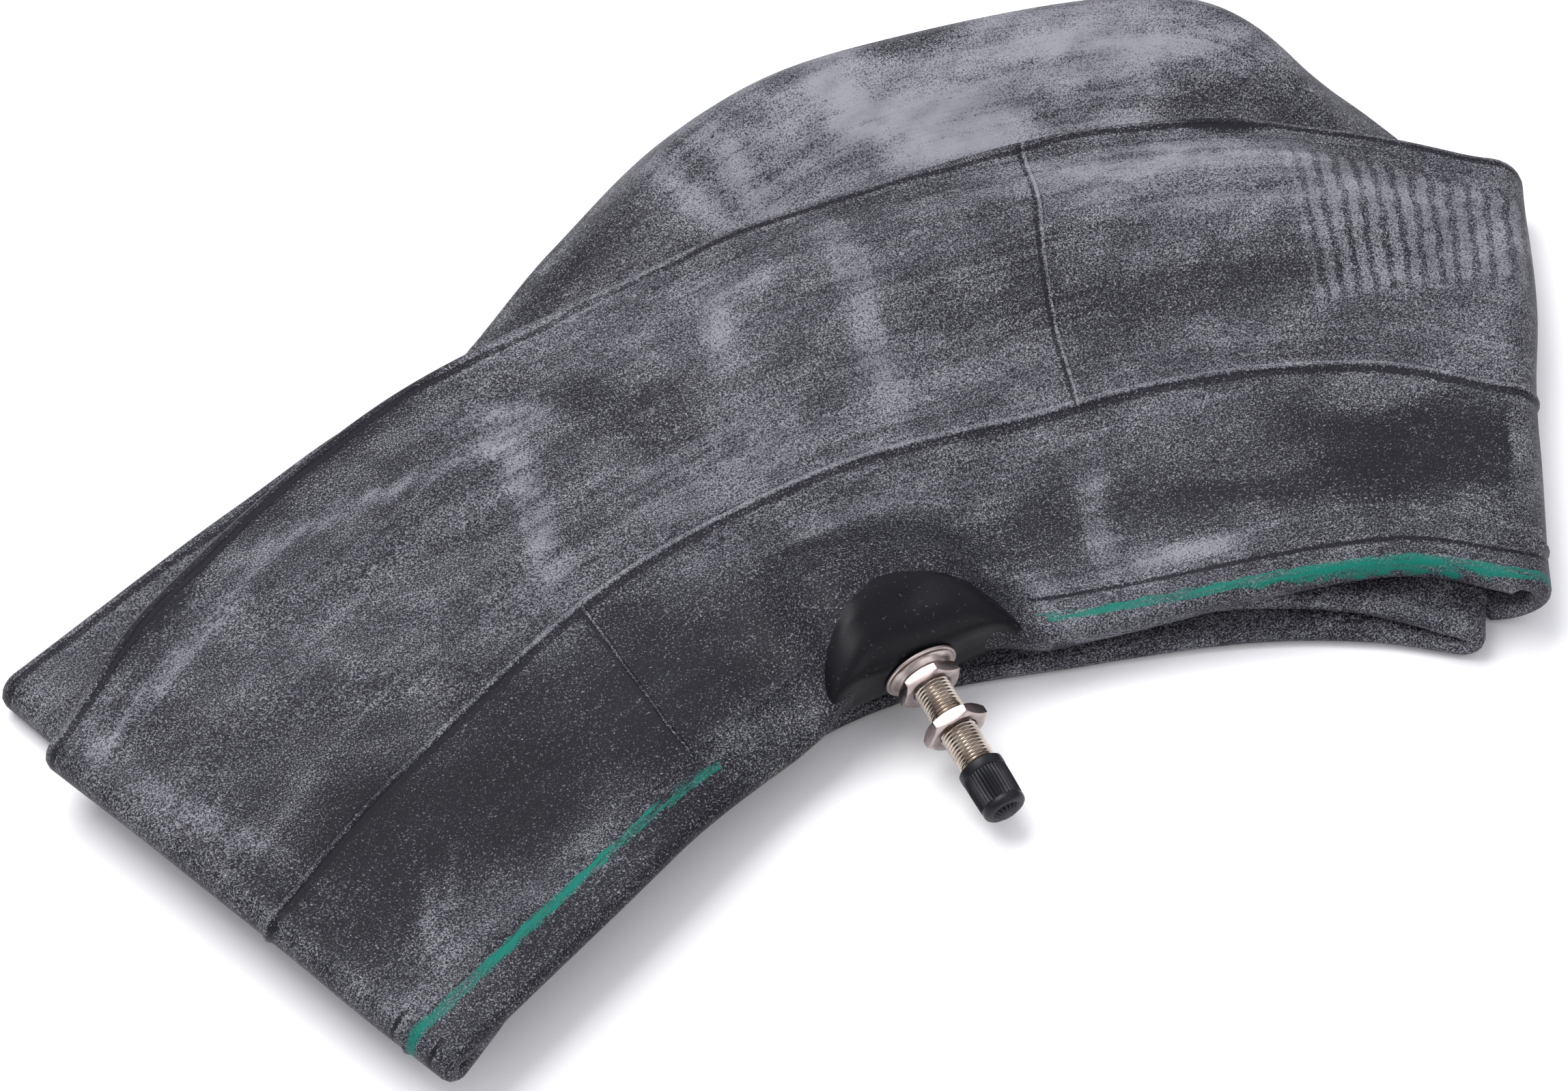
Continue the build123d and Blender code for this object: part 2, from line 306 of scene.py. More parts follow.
sheet = np.concatenate([
    top_sheet, fold_sheet(top_sheet[-1], bottom_sheet[0], 1, OUTER_FOLD_STEPS),
    bottom_sheet, fold_sheet(bottom_sheet[-1], third_sheet[0], -1, INNER_FOLD_STEPS),
    third_sheet, fold_sheet(third_sheet[-1], second_sheet[0], 1, INNER_FOLD_STEPS),
    second_sheet, fold_sheet(second_sheet[-1], top_sheet[0], -1, INNER_FOLD_STEPS),
])
columns, rows = sheet.shape[:2]
top_columns = len(top_sheet)
bottom_start = top_columns + OUTER_FOLD_STEPS
bottom_end = bottom_start + len(bottom_sheet)


def unit(grid):
    return grid / np.maximum(np.linalg.norm(grid, axis=-1, keepdims=True), 1e-9)


along_direction = unit(np.roll(sheet, -1, 0) - np.roll(sheet, 1, 0))
facing = unit(np.cross(along_direction, unit(np.gradient(sheet, axis=1))))
from_inner = np.linalg.norm(sheet - sheet[:, :1], axis=2)
from_outer = np.linalg.norm(sheet - sheet[:, -1:], axis=2)
is_top = (np.arange(columns) < top_columns)[:, None]
x, y = sheet[..., 0], sheet[..., 1]


def half_thickness(side):
    """Half of the tube's thickness on one side: rounded edges, and propped open at the valve."""
    near_valve = smooth((25 - abs(x)) / 15) * is_top
    right_roll = smooth((x - 14) / 16) * is_top * (1 - smooth((from_inner - 7) / 9))
    if side > 0:
        swell = 6.6 * near_valve * smooth((-12 - y) / 24) + 0.5 * right_roll
    else:
        swell = 6.4 * near_valve * smooth((-30 - y) / 10) + 3.4 * right_roll
    full = HALF + swell
    rounding = np.maximum(HALF, 0.95 * full)
    inner_edge = np.sqrt(1 - (1 - np.clip(from_inner / rounding, 0, 1)) ** 2)
    outer_edge = np.sqrt(1 - (1 - np.clip(from_outer / HALF, 0, 1)) ** 2)
    return full * inner_edge * outer_edge


def ridge(middle, height):
    """A thin raised line along the tube, as a height for each row across it."""
    return height * np.clip(1 - abs(side_rows - middle) / 0.75, 0, 1)


# Shallow waves keep the flattened walls from looking machined.
slow_wave = 0.35 * np.sin(x / 31 + 1.3 * np.sin(y / 23)) * np.sin(y / 19 + 0.8 * np.sin(x / 41))
wall_shape = ridge(mid_ridge, 0.6) + ridge(inner_ridge, 0.5) * (abs(x) > 16)
side_a = sheet + facing * (half_thickness(1) + wall_shape + slow_wave * smooth(from_inner / 12))[..., None]
side_b = sheet - facing * (half_thickness(-1) + wall_shape)[..., None]
ring = np.concatenate([side_a, side_b[:, -2:0:-1]], axis=1)
around = ring.shape[1]
ring[..., :2] += plan_shift

# Where the washer lies, nothing stands in front of the valve's seat, and nothing dips into the table.
ahead = (ring - seat_mm) @ axis
beside = abs(ring[..., 0] - seat_mm[0])
ring -= (np.maximum(ahead + 0.35, 0) * smooth((25 - beside) / 14) * is_top)[..., None] * axis
ring[..., 2] = np.maximum(ring[..., 2], 0)

# Marks in the talc, as (plan place, half length, half width, turn in degrees, amount): the handling
# of the tube has left light smears where talc has gathered, and dark ones where it is wiped off.
# A few marks, noted beside them, are painted shade and painted highlight instead.
top_marks = [
    ((100, 40), 34, 7, -18, 0.5), ((112, 22), 34, 4, -22, 0.25), ((33, 32), 23, 3.6, 78, 0.3),
    ((12, 52), 10, 3.5, -18, 0.3), ((6, 42), 9, 3, 72, 0.3), ((-44, 45), 9, 3.6, -10, 0.35),
    ((-50, 20), 22, 4, 80, 0.35), ((-76, 37), 30, 1.6, 4, 0.45), ((52, -33), 14, 3.4, 66, 0.35),
    ((60, -51), 12, 2.2, -16, 0.45), ((88, -40), 40, 14, -22, -0.12), ((-14, 18), 18, 14, 10, 0.15),
    ((-20, 32), 14, 10, -20, -0.25), ((126, 44), 7, 4, -30, -0.5), ((124, -58), 30, 12, -32, -0.5),
    # The dark mark at (-90, -42) is painted shade on the lower part of the left band.
    ((80, -45), 17, 3.5, -24, -0.3), ((-90, -42), 52, 18, 14, -0.5), ((-30, -30), 30, 16, 8, -0.3),
    ((30, -30), 34, 9, -8, -0.3), ((-118, 0), 26, 26, 20, -0.1), ((-131, 16), 30, 1.8, 31, 0.5),
    ((-138, -28), 26, 3, -62, 0.2), ((-126, 33), 20, 4, 32, -0.5), ((-66, 58), 50, 3, 20, -0.4),
    ((-16, 63), 24, 1.4, 5, 0.35), ((100, 4), 40, 6, -14, -0.2), ((150, 20), 10, 10, 0, -0.2),
    ((-5, -12), 20, 6, 4, 0.15), ((70, 52), 30, 3, -10, -0.2), ((-112, -60), 8, 1.5, 60, 0.35),
    # The dark mark at (-78, -74) is painted shade along the lower edge of the left band.
    ((-106, -57), 9, 1.2, 62, 0.3), ((-78, -74), 44, 7, 22, -0.3), ((28, -47), 7, 4, 30, 0.4),
    ((8, 6), 40, 10, 0, 0.1),
]
bottom_marks = [
    ((34, 86), 20, 3.6, 96, 0.35), ((22, 84), 16, 3.2, 100, 0.3), ((62, 92), 5, 12, -20, 0.4),
    # The broad light mark at (92, 86) is partly talc and partly a painted highlight on the top of the hump,
    # where it faces the light.
    ((80, 76), 14, 9, -12, 0.4), ((84, 98), 12, 5, -18, -0.5), ((92, 86), 58, 30, 0, 0.4),
    ((126, 76), 30, 3, -24, 0.35), ((120, 64), 30, 3, -24, -0.2), ((-14, 80), 20, 3, 24, -0.3),
    ((-90, 52), 60, 2.4, 8, -0.3), ((-120, 44), 14, 3, 28, 0.5), ((60, 66), 26, 2.5, -4, -0.4),
]


def marked(marks, grid):
    """The talc, painted shade and painted highlight that the marks add or take away, at every point of a
    grid.
    """
    total = np.zeros(grid.shape[:2])
    for place, half_length, half_width, turn, amount in marks:
        reach = grid[..., :2] - np.array(place)
        turned_by = math.radians(turn)
        along = reach[..., 0] * math.cos(turned_by) + reach[..., 1] * math.sin(turned_by)
        aside = reach[..., 1] * math.cos(turned_by) - reach[..., 0] * math.sin(turned_by)
        along = along + 1.6 * np.sin(aside / 2.1 + place[0]) + 2.4 * np.sin(aside / 5.3)
        aside = aside + 0.2 * half_width * np.sin(along / 6.1 + place[1])
        distance = ((along / half_length) ** 4 + (aside / half_width) ** 4) ** 0.25
        total += amount * smooth((1.5 - distance) / 1.1)
    return total


talc_and_painted_light = np.zeros((columns, rows))
talc_and_painted_light[:top_columns] = marked(top_marks, sheet[:top_columns])
talc_and_painted_light[bottom_start:bottom_end] = marked(bottom_marks, sheet[bottom_start:bottom_end])
ring_plan = ring[..., :2] - plan_shift
from_valve = np.hypot((ring_plan[..., 0] - 1.5) / 26, (ring_plan[..., 1] + 47) / 18)
wiped = smooth((1.2 - from_valve) / 0.4) * is_top
talc_and_painted_light = np.concatenate([talc_and_painted_light, talc_and_painted_light[:, -2:0:-1]], axis=1) * (1 - wiped)

# How far each point lies from the middle of the green stripe, which wanders from the left fold,
# where it is well up the side, to the right one, where it lies on the rounded edge.
STRIPE_GAP = (-46, 27)
NO_STRIPE = 40.0
stripe_x = [-140, -100, -60, -45, 30, 60, 90, 105, 130]
stripe_across = [10.5, 9.5, 8.2, 7.6, 4.4, 2.2, 0.9, 1.0, 3.2]
across_mm = np.concatenate([side_rows, 2 * WIDTH - side_rows[-2:0:-1]])
past_edge = np.where(across_mm < WIDTH, across_mm, across_mm - 2 * WIDTH)
off_stripe = abs(past_edge[None, :] - np.interp(ring_plan[..., 0], stripe_x, stripe_across))
over_the_folds = (np.arange(columns) < top_columns + 6) | (np.arange(columns) > columns - 6)
beside_gap = (ring_plan[..., 0] < STRIPE_GAP[0]) | (ring_plan[..., 0] > STRIPE_GAP[1])
off_stripe = np.where(over_the_folds[:, None] & beside_gap, off_stripe, NO_STRIPE)

middle_row = sheet[:, rows // 2]
along_mm = np.cumsum(np.linalg.norm(np.diff(middle_row, axis=0, prepend=middle_row[:1]), axis=1))


def place_on_surface(layer_points, first, place):
    """The distances along and across the tube at which a layer passes a place in plan."""
    away = np.linalg.norm(layer_points[..., :2] - np.array(place), axis=2)
    column, row = np.unravel_index(np.argmin(away), away.shape)
    return along_mm[first + column], side_rows[row]


# Thin ridges run across the band too, where the mould let air out, from one place to another.
vents = [
    (place_on_surface(points, first, start), place_on_surface(points, first, end))
    for points, first, start, end in (
        (top_sheet, 0, (61.5, -7), (85, 56)), (top_sheet, 0, (-51.8, -49), (-52.7, -11)),
        (bottom_sheet, bottom_start, (96, 52), (106.4, 103)),
        (bottom_sheet, bottom_start, (-95, 50), (-94.8, 56)),
    )
]
comb_start = place_on_surface(top_sheet, 0, (123, 4))[0]

casing_mesh = bpy.data.meshes.new("tube_casing_skin")
faces = [
    (i * around + j, ((i + 1) % columns) * around + j,
     ((i + 1) % columns) * around + (j + 1) % around, i * around + (j + 1) % around)
    for i in range(columns) for j in range(around)
]
casing_mesh.from_pydata((ring.reshape(-1, 3) * MM).tolist(), [], faces)
casing = bpy.data.objects.new("tube_casing_skin", casing_mesh)
bpy.context.scene.collection.objects.link(casing)
casing_mesh.shade_smooth()
surface_uv = casing_mesh.uv_layers.new(name="surface_mm")
along_end = np.append(along_mm, along_mm[-1] + COLUMN_STEP)
across_end = np.append(across_mm, 2 * WIDTH)
grid_i, grid_j = np.divmod(np.arange(len(faces)), around)
uv = np.zeros((len(faces), 4, 2))
for corner, (step_i, step_j) in enumerate(((0, 0), (1, 0), (1, 1), (0, 1))):
    uv[:, corner, 0] = along_end[grid_i + step_i]
    uv[:, corner, 1] = across_end[grid_j + step_j]
surface_uv.data.foreach_set("uv", uv.reshape(-1))
for attribute, values in (("talc_and_painted_light", talc_and_painted_light), ("wiped", wiped), ("off_stripe", off_stripe)):
    layer = casing_mesh.attributes.new(attribute, "FLOAT", "POINT")
    layer.data.foreach_set("value", np.ascontiguousarray(values, dtype=np.float32).reshape(-1))


# Talc-dusted butyl: near-black, slightly blue rubber with a dull sheen. The talc is a dry pale
# grey that sits on the grain, is brushed out along the tube, and is drawn about twice as coarse
# as real dust, which would be too fine to see.
butyl, tree, shader = new_material("talc_dusted_butyl")


def solid_mm(tree):
    """The place in the piece's own space, in millimetres."""
    place = add_node(tree, "TexCoord", output="Object")
    return add_node(tree, "VectorMath", {0: place, "Scale": 1 / MM}, operation="SCALE")


surface = add_node(tree, "UVMap", uv_map="surface_mm")
solid = solid_mm(tree)
marks = add_node(tree, "Attribute", attribute_name="talc_and_painted_light", output="Fac")
wiped_off = add_node(tree, "Attribute", attribute_name="wiped", output="Fac")
from_stripe = add_node(tree, "Attribute", attribute_name="off_stripe", output="Fac")


def blots(tree, source, length, width, low, high, turn=0, detail=4):
    """Soft blots of a length and a width in millimetres, turned on the surface, from 0 to 1."""
    turned_source = add_node(tree, "Mapping", {"Vector": source, "Rotation": (0, 0, math.radians(turn))})
    sized = add_node(
        tree, "VectorMath", turned_source, (1 / length, 1 / width, 1 / width), operation="MULTIPLY")
    cloud = add_node(tree, "TexNoise", {"Vector": sized, "Scale": 1.0, "Detail": detail, "Roughness": 0.56})
    return add_node(tree, "MapRange", cloud, low, high, 0.0, 1.0, interpolation_type="SMOOTHSTEP")


blotches = blots(tree, solid, 46, 24, 0.3, 0.72)
clouds = blots(tree, solid, 13, 8, 0.3, 0.7)
brushed = blots(tree, surface, 60, 2.6, 0.32, 0.7)
fine_brushed = blots(tree, surface, 16, 0.7, 0.35, 0.7)
swirls = blots(tree, surface, 9, 0.8, 0.55, 0.75, turn=62)
specks = blots(tree, solid, 0.5, 0.5, 0.57, 0.68, detail=1)
scratches = add_node(
    tree, "Math", blots(tree, surface, 26, 0.8, 0.68, 0.74, turn=34, detail=2),
    blots(tree, surface, 34, 0.9, 0.69, 0.74, turn=-8, detail=2), operation="MAXIMUM")
cover = 0.07
for layer_of_talc, share in (
    (blotches, 0.14), (clouds, 0.1), (brushed, 0.12), (fine_brushed, 0.08), (swirls, 0.08),
    (scratches, 0.2),
):
    cover = add_node(tree, "Math", layer_of_talc, share, cover, operation="MULTIPLY_ADD")
raggedness = add_node(tree, "Math", clouds, brushed, operation="ADD")
raggedness = add_node(tree, "MapRange", raggedness, 0.2, 1.1, 0.5, 0.95, interpolation_type="SMOOTHSTEP")
# The marks add talc to the cover, and in a few places painted shade and painted highlight.
cover = add_node(tree, "Math", marks, raggedness, cover, operation="MULTIPLY_ADD")

# Fingers have dragged a comb of short smears across the upper right of the top layer.
finger_pitch = 3.3
along = add_node(tree, "SeparateXYZ", surface, output="X")
across = add_node(tree, "SeparateXYZ", surface, output="Y")
into_comb = add_node(tree, "Math", along, comb_start, operation="SUBTRACT")
wobble = blots(tree, surface, 7, 5, 0.2, 0.8, detail=2)
finger = add_node(tree, "Math", into_comb, 1 / finger_pitch, operation="MULTIPLY")
finger = add_node(tree, "Math", wobble, 0.35, finger, operation="MULTIPLY_ADD")
finger = add_node(tree, "Math", finger, 0.5, operation="PINGPONG")
comb = add_node(tree, "MapRange", finger, 0.12, 0.3, 0.0, 1.0, interpolation_type="SMOOTHSTEP")
low_end = add_node(tree, "Math", into_comb, 0.4, 64.0, operation="MULTIPLY_ADD")
above_low_end = add_node(tree, "Math", across, low_end, operation="SUBTRACT")
for value, start, end, first, last in (
    (into_comb, -1, 3, 0, 1), (into_comb, 40, 52, 1, 0), (above_low_end, -4, 3, 0, 1),
    (across, 103, 108, 1, 0),
):
    limit = add_node(tree, "MapRange", value, start, end, first, last, interpolation_type="SMOOTHSTEP")
    comb = add_node(tree, "Math", comb, limit, operation="MULTIPLY")
cover = add_node(tree, "Math", comb, 0.3, cover, operation="MULTIPLY_ADD")


def line_at(tree, value, middle, half_width, softness):
    """1 within a line's half width of its middle, and 0 beyond it."""
    away = add_node(tree, "Math", value, middle, operation="SUBTRACT")
    away = add_node(tree, "Math", away, operation="ABSOLUTE")
    end = half_width + softness
    return add_node(tree, "MapRange", away, half_width, end, 1.0, 0.0, interpolation_type="SMOOTHSTEP")


# Talc catches on the crests of the mould ridges, and a painted shadow darkens one foot of each ridge.
crests = line_at(tree, across, mid_ridge, 0.35, 0.45)
ridge_shadows = line_at(tree, across, mid_ridge - 1.3, 0.5, 0.8)
wander = blots(tree, surface, 30, 30, 0.2, 0.8, detail=1)
vent_crests = 0.0
for (start_along, start_across), (end_along, end_across) in vents:
    lean = (end_along - start_along) / (end_across - start_across)
    vent = add_node(tree, "Math", wander, 1.6, along, operation="MULTIPLY_ADD")
    vent = add_node(tree, "Math", across, -lean, vent, operation="MULTIPLY_ADD")
    vent_middle = start_along - lean * start_across + 0.8
    half_span = abs(end_across - start_across) / 2
    span = line_at(tree, across, (start_across + end_across) / 2, half_span, 4)
    crest = add_node(tree, "Math", line_at(tree, vent, vent_middle, 0.2, 0.45), span, operation="MULTIPLY")
    # A painted shadow beside each vent ridge.
    vent_shadow = line_at(tree, vent, vent_middle - 0.9, 0.15, 0.5)
    vent_shadow = add_node(tree, "Math", vent_shadow, span, operation="MULTIPLY")
    vent_crests = add_node(tree, "Math", crest, vent_crests, operation="ADD")
    ridge_shadows = add_node(tree, "Math", vent_shadow, ridge_shadows, operation="ADD")
crests = add_node(tree, "Math", crests, vent_crests, operation="ADD")

# The outer edge carries the mould's parting line, thin and ragged, with a painted shadow that makes it
# dark.
# Right of the valve a line of painted shade runs above the stripe.
rag = blots(tree, surface, 22, 22, 0.2, 0.8, detail=2)
ragged_across = add_node(tree, "Math", rag, 1.6, across, operation="MULTIPLY_ADD")
parting_ridge_and_shadow = line_at(tree, ragged_across, WIDTH - 2.2, 0.3, 0.8)
right_of_valve = add_node(tree, "MapRange", along, 148.0, 156.0)
inner_ridge_shadow = add_node(
    tree, "Math", line_at(tree, from_stripe, 5.0, 0.2, 0.5), right_of_valve, operation="MULTIPLY")
for line, share in ((crests, 0.28), (ridge_shadows, -0.35), (parting_ridge_and_shadow, -0.4), (inner_ridge_shadow, -0.5)):
    cover = add_node(tree, "Math", line, share, cover, operation="MULTIPLY_ADD")
kept = add_node(tree, "Math", wiped_off, -0.93, 1.0, operation="MULTIPLY_ADD")
cover = add_node(tree, "Math", cover, kept, operation="MULTIPLY")
grain = add_node(tree, "TexNoise", {"Vector": solid, "Scale": 3.0, "Detail": 2.0, "Roughness": 0.65})
dust = add_node(tree, "Math", grain, 2.8, -1.4, operation="MULTIPLY_ADD")
dust = add_node(tree, "Math", dust, cover, operation="ADD")
dust = add_node(tree, "Math", specks, 0.42, dust, operation="MULTIPLY_ADD")
dust = add_node(tree, "MapRange", dust, 0.05, 0.95, 0.0, 1.0, interpolation_type="SMOOTHSTEP")
rubber = add_node(tree, "Mix", {
    "Factor": blotches, 6: linear("#111118"), 7: linear("#191920"),
}, data_type="RGBA", output=2)
powder = add_node(tree, "Mix", {
    "Factor": clouds, 6: linear("#78787f"), 7: linear("#8f8f95"),
}, data_type="RGBA", output=2)
colour = add_node(tree, "Mix", {"Factor": dust, 6: rubber, 7: powder}, data_type="RGBA", output=2)

# The stripe's paint is thin, so dust and rubber show through it where it is worn.
stripe_edge = blots(tree, surface, 5, 0.7, 0.2, 0.8, detail=3)
stripe_edge = add_node(tree, "Math", stripe_edge, 0.9, from_stripe, operation="MULTIPLY_ADD")
stripe = line_at(tree, stripe_edge, 0.45, 0.8, 0.6)
wear = add_node(tree, "Math", fine_brushed, brushed, operation="ADD")
wear = add_node(tree, "MapRange", wear, 0.4, 1.7, 0.95, 0.2, interpolation_type="SMOOTHSTEP")
stripe = add_node(tree, "Math", stripe, wear, operation="MULTIPLY")
colour = add_node(
    tree, "Mix", {"Factor": stripe, 6: colour, 7: linear("#006e60")}, data_type="RGBA", output=2)
tree.links.new(colour, shader.inputs["Base Color"])
dullness = add_node(tree, "MapRange", dust, 0.0, 0.6, 0.5, 0.86)
tree.links.new(dullness, shader.inputs["Roughness"])
shader.inputs["Specular IOR Level"].default_value = 0.16
relief = 0.0
for part, share in ((vent_crests, 0.45), (grain, 0.07), (fine_brushed, 0.05), (parting_ridge_and_shadow, 0.2)):
    relief = add_node(tree, "Math", part, share, relief, operation="MULTIPLY_ADD")
bump = add_node(tree, "Bump", {"Height": relief, "Distance": MM, "Strength": 0.9})
tree.links.new(bump, shader.inputs["Normal"])
casing_mesh.materials.append(butyl)
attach(casing, "tube")
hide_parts("tube_casing")

# ---------------------------------------------------------------- valve base pad
# A smooth pad of black rubber, bonded over the inner edge where the stem comes out. It is
# cured in a polished mould and no talc sticks to it, so it is darker and has a soft gloss.
PAD_HALF_WIDTH = 23.0
PAD_ABOVE = 23.0
PAD_BELOW = 13.0
pad_columns = [i for i in range(top_columns) if abs(top_sheet[i, 0, 0] + 0.5) < PAD_HALF_WIDTH + 4]
upper_rows = [j for j in range(rows) if side_rows[j] < 27]
lower_rows = [2 * (rows - 1) - j for j in range(1, rows) if side_rows[j] < 17]
pad_ring = lower_rows[::-1] + upper_rows
skin = ring[np.ix_(pad_columns, pad_ring)]
slope_along = np.gradient(skin, axis=0)
slope_across = np.gradient(skin, axis=1)
skin_normal = unit(np.cross(slope_along, slope_across))
pad_x = skin[..., 0] - seat_mm[0]
reach_up = np.cumsum(np.linalg.norm(np.diff(skin, axis=1, prepend=skin[:, :1]), axis=2), axis=1)
from_edge = reach_up - reach_up[:, len(lower_rows):len(lower_rows) + 1]
reach = np.where(from_edge > 0, from_edge / PAD_ABOVE, from_edge / PAD_BELOW)
rim = np.hypot((pad_x - 0.5) / PAD_HALF_WIDTH, reach)
raised = -0.5 + 1.15 * smooth((1.03 - rim) / 0.16)
pad_points = skin + skin_normal * raised[..., None]
pad_ahead = np.maximum((pad_points - seat_mm) @ axis, 0) * smooth((25 - abs(pad_x)) / 14)
pad_points -= pad_ahead[..., None] * axis
pad_mesh = bpy.data.meshes.new("valve_pad_moulding")
pad_rows = len(pad_ring)
pad_faces = [
    (i * pad_rows + j, (i + 1) * pad_rows + j, (i + 1) * pad_rows + j + 1, i * pad_rows + j + 1)
    for i in range(len(pad_columns) - 1) for j in range(pad_rows - 1)
]
pad_mesh.from_pydata((pad_points.reshape(-1, 3) * MM).tolist(), [], pad_faces)
pad = bpy.data.objects.new("valve_pad_moulding", pad_mesh)
bpy.context.scene.collection.objects.link(pad)


def finish_piece(piece, *modifiers):
    """Applies modifiers, given as (kind, settings), to a piece and leaves it the only one selected."""
    bpy.ops.object.select_all(action="DESELECT")
    piece.select_set(True)
    bpy.context.view_layer.objects.active = piece
    for kind, settings in modifiers:
        modifier = piece.modifiers.new(kind.lower(), kind)
        for name, value in settings.items():
            setattr(modifier, name, value)
        bpy.ops.object.modifier_apply(modifier=modifier.name)


finish_piece(
    pad,
    ("SUBSURF", {"levels": 1, "render_levels": 1}),
    ("SOLIDIFY", {"thickness": 0.9 * MM, "offset": -1}),
)
pad_mesh = pad.data
pad_mesh.shade_smooth()

# Polished black moulding: satin, with a few stray grains of talc.
moulding, tree, shader = new_material("satin_moulded_black_rubber")
solid = solid_mm(tree)
stray = blots(tree, solid, 0.8, 0.8, 0.66, 0.76, detail=2)
haze = blots(tree, solid, 9, 9, 0.4, 0.75, detail=3)
half_haze = add_node(tree, "Math", haze, 0.5, operation="MULTIPLY")
colour = add_node(tree, "Mix", {
    "Factor": half_haze, 6: linear("#08080e"), 7: linear("#101017"),
}, data_type="RGBA", output=2)
few = add_node(tree, "Math", stray, 0.35, operation="MULTIPLY")
colour = add_node(
    tree, "Mix", {"Factor": few, 6: colour, 7: linear("#6d6d72")}, data_type="RGBA", output=2)
tree.links.new(colour, shader.inputs["Base Color"])
tree.links.new(add_node(tree, "MapRange", haze, 0.0, 1.0, 0.36, 0.5), shader.inputs["Roughness"])
shader.inputs["Specular IOR Level"].default_value = 0.18
pad_mesh.materials.append(moulding)
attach(pad, "tube")
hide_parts("valve_base_pad")

# ---------------------------------------------------------------- valve stem
# A turned brass stem, nickel plated: its foot is bonded into the pad, its whole length carries
# a rolled thread, and its mouth is chamfered. The core screws down its stepped bore.
THREAD_PITCH = 0.794
THREAD_CREST = 3.85
THREAD_ROOT = 3.3
THREAD_START = -0.4
MOUTH = 33.9
valve_across = Vector((1, 0, 0))
valve_frame = Matrix.Translation(valve_seat) @ Matrix(
    (valve_across, valve_axis.cross(valve_across), valve_axis)
).transposed().to_4x4()


def turned(name, sides, outline):
    """A ring of points, extruded and resized along an outline of (radius, height) in mm."""
    bpy.ops.object.select_all(action="DESELECT")
    radius, height = outline[0]
    bpy.ops.mesh.primitive_circle_add(
        vertices=sides, radius=radius * MM, location=(0, 0, 0))
    piece = bpy.context.object
    piece.name = name
    bpy.ops.object.mode_set(mode="EDIT")
    bpy.ops.transform.translate(value=(0, 0, height * MM))
    for next_radius, next_height in outline[1:]:
        rise = (0, 0, (next_height - height) * MM)
        bpy.ops.mesh.extrude_region_move(TRANSFORM_OT_translate={"value": rise})
        grow = next_radius / radius
        bpy.ops.transform.resize(value=(grow, grow, 1), center_override=(0, 0, next_height * MM))
        radius, height = next_radius, next_height
    bpy.ops.mesh.select_all(action="SELECT")
    bpy.ops.mesh.remove_doubles(threshold=0.002 * MM)
    bpy.ops.mesh.normals_make_consistent(inside=False)
    bpy.ops.object.mode_set(mode="OBJECT")
    return piece


def place_on_valve(piece, sharpest=35):
    """Puts a piece made along the Z axis on the valve, and smooths all but its sharp edges."""
    finish_piece(piece)
    piece.data.transform(valve_frame)
    bpy.ops.object.shade_smooth_by_angle(angle=math.radians(sharpest))
    return piece


stem = turned("threaded_valve_stem", 48, [
    (THREAD_ROOT - 0.05, MOUTH - 0.75), (THREAD_ROOT - 0.02, MOUTH - 0.35), (3.2, MOUTH), (2.8, MOUTH),
    (2.6, MOUTH - 0.35), (2.6, 26.5), (2.1, 24.5), (2.1, 9), (1.7, 8), (1.7, -6), (2.5, -6), (2.5, -3),
    (6, -3), (6, -1.6), (THREAD_ROOT - 0.05, -1.6), (THREAD_ROOT - 0.05, MOUTH - 0.75),
])
thread_mesh = bpy.data.meshes.new("stem_thread")
thread_profile = [
    (THREAD_ROOT, 0), (3.43, 0.1), (3.79, 0.31), (THREAD_CREST, 0.4), (3.79, 0.49), (3.43, 0.69),
    (THREAD_ROOT, THREAD_PITCH),
]
thread_mesh.from_pydata(
    [(radius * MM, 0, (THREAD_START + height) * MM) for radius, height in thread_profile],
    [(k, k + 1) for k in range(len(thread_profile) - 1)], [])
thread = bpy.data.objects.new("stem_thread", thread_mesh)
bpy.context.scene.collection.objects.link(thread)
thread_turns = int((MOUTH - THREAD_START) / THREAD_PITCH)
finish_piece(thread, ("SCREW", {
    "angle": 2 * math.pi, "screw_offset": THREAD_PITCH * MM, "iterations": thread_turns, "steps": 40,
    "render_steps": 40, "use_merge_vertices": True, "merge_threshold": 0.001 * MM,
}))
# The thread fades out into the chamfer at the mouth.
for vertex in thread.data.vertices:
    radius = math.hypot(vertex.co.x, vertex.co.y)
    to_mouth = MOUTH * MM - vertex.co.z
    longest = THREAD_ROOT * MM + max(to_mouth - 0.3 * MM, 0) * 0.7
    if radius > longest:
        vertex.co.x *= longest / radius
        vertex.co.y *= longest / radius
bpy.ops.object.mode_set(mode="EDIT")
bpy.ops.mesh.select_all(action="SELECT")
bpy.ops.mesh.normals_make_consistent(inside=False)
bpy.ops.object.mode_set(mode="OBJECT")
stem.select_set(True)
bpy.context.view_layer.objects.active = stem
bpy.ops.object.join()
place_on_valve(stem, 50)

# Nickel-plated brass, rolled: bright, faintly warm, with soft patches of tarnish.
rolled_nickel, tree, shader = new_material("warm_nickel_plated_brass")
solid = solid_mm(tree)
tarnish = blots(tree, solid, 4, 4, 0.35, 0.75, detail=3)
colour = add_node(tree, "Mix", {
    "Factor": tarnish, 6: linear("#c4baaf"), 7: linear("#9a9086"),
}, data_type="RGBA", output=2)
tree.links.new(colour, shader.inputs["Base Color"])
shader.inputs["Metallic"].default_value = 1.0
tree.links.new(add_node(tree, "MapRange", tarnish, 0.0, 1.0, 0.13, 0.24), shader.inputs["Roughness"])
stem.data.materials.append(rolled_nickel)
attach(stem, "tube")
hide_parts("valve_stem")

